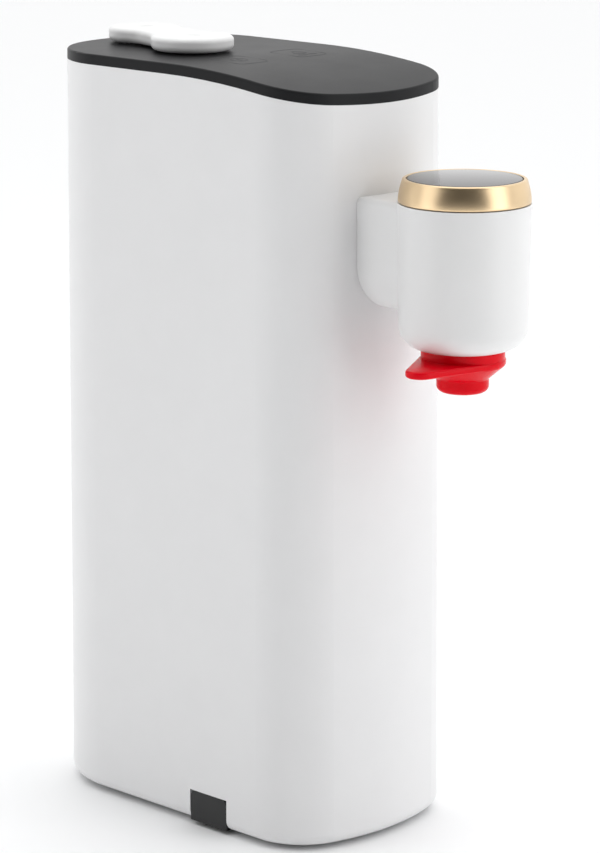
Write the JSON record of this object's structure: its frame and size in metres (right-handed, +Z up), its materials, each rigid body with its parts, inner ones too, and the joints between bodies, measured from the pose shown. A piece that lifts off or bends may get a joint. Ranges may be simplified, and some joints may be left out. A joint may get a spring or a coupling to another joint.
{
  "type": "countertop water dispenser",
  "caption": "Tankless desktop hot-water dispenser: tall oval casing, tap head on an arm with dial ring and press glass, swivelling nozzle and swing-out suction arm.",
  "frame": {"origin": "on the surface it stands on, under the middle of its overall box", "axes": "+Z up; -Y towards the front, where the tap head is; +X to the right seen from the front"},
  "size_m": [0.0814, 0.1952, 0.2705],
  "materials": {
    "white_plastic": "satin, very fine grain",
    "black_lid": "matte, very fine grain",
    "dark_plastic": "moulded",
    "bearing_plastic": "natural acetal",
    "gold_metal": "satin anodised",
    "dark_glass": "polished",
    "red_plastic": "semi-gloss",
    "rubber": "matt",
    "steel": "bright",
    "heater_steel": "drawn",
    "circuit_board": "solder mask",
    "silicone": "translucent silicone"
  },
  "bodies": {
    "root": {"body_shell": "white_plastic", "base_plate": "dark_plastic", "rubber_feet": "rubber", "base_screws": "steel", "top_lid": "black_lid", "drain_spigot": "dark_plastic", "pivot_bush": "bearing_plastic", "inlet_union": "bearing_plastic", "pivot_seal": "rubber", "spout_arm": "white_plastic", "arm_nut": "dark_plastic", "head_shell": "white_plastic", "dial_bearing": "bearing_plastic", "dial_clip": "steel", "display_board": "circuit_board", "button_switch": "dark_plastic", "button_spring": "steel", "outlet_pipe": "bearing_plastic", "nozzle_seal": "rubber", "inner_frame": "dark_plastic", "heater_barrel": "heater_steel", "heater_lower_cap": "bearing_plastic", "heater_upper_cap": "bearing_plastic", "heater_clamps": "steel", "thermostat": "dark_plastic", "motor_mount": "rubber", "pump_motor": "steel", "pump_housing": "bearing_plastic", "flow_sensor": "dark_plastic", "sensor_bracket": "steel", "power_board": "circuit_board", "control_board": "circuit_board", "touch_board": "circuit_board", "inlet_tube": "silicone", "pump_tube": "silicone", "heater_tube": "silicone", "outlet_tube": "silicone", "cord_gland": "rubber"},
    "suction": {"suction_arm": "white_plastic", "pivot_post": "steel", "pivot_clip": "steel"},
    "dial": {"dial_ring": "gold_metal"},
    "button": {"display_glass": "dark_glass", "button_plunger": "bearing_plastic"},
    "nozzle": {"nozzle_lever": "red_plastic", "nozzle_clip": "steel"},
    "drain": {"drain_cover": "rubber"},
    "pump": {"pump_rotor": "bearing_plastic"}
  },
  "joints": [
    {"name": "suction_swivel", "type": "hinge", "parent": "root", "child": "suction", "pos_m": [0, 0.07465, 0.265], "axis": [0, 0, -1], "range_deg": [-15, 165]},
    {"name": "dial_turn", "type": "hinge", "parent": "root", "child": "dial", "pos_m": [0, -0.07575, 0.229], "axis": [0, 0, 1], "continuous": true},
    {"name": "button_press", "type": "slide", "parent": "root", "child": "button", "axis": [0, 0, -1], "range_m": [0, 0.0008], "stiffness_N_per_m": 600, "springref_m": -0.0005, "deforming": ["button_spring"]},
    {"name": "nozzle_turn", "type": "hinge", "parent": "root", "child": "nozzle", "pos_m": [0, -0.07575, 0.17], "axis": [0, 0, 1], "range_deg": [0, 90]},
    {"name": "drain_pull", "type": "slide", "parent": "root", "child": "drain", "axis": [-1, 0, 0], "range_m": [0, 0.02]},
    {"name": "pump_spin", "type": "hinge", "parent": "root", "child": "pump", "pos_m": [0, 0.058, 0.055], "axis": [0, 0, 1], "continuous": true}
  ]
}
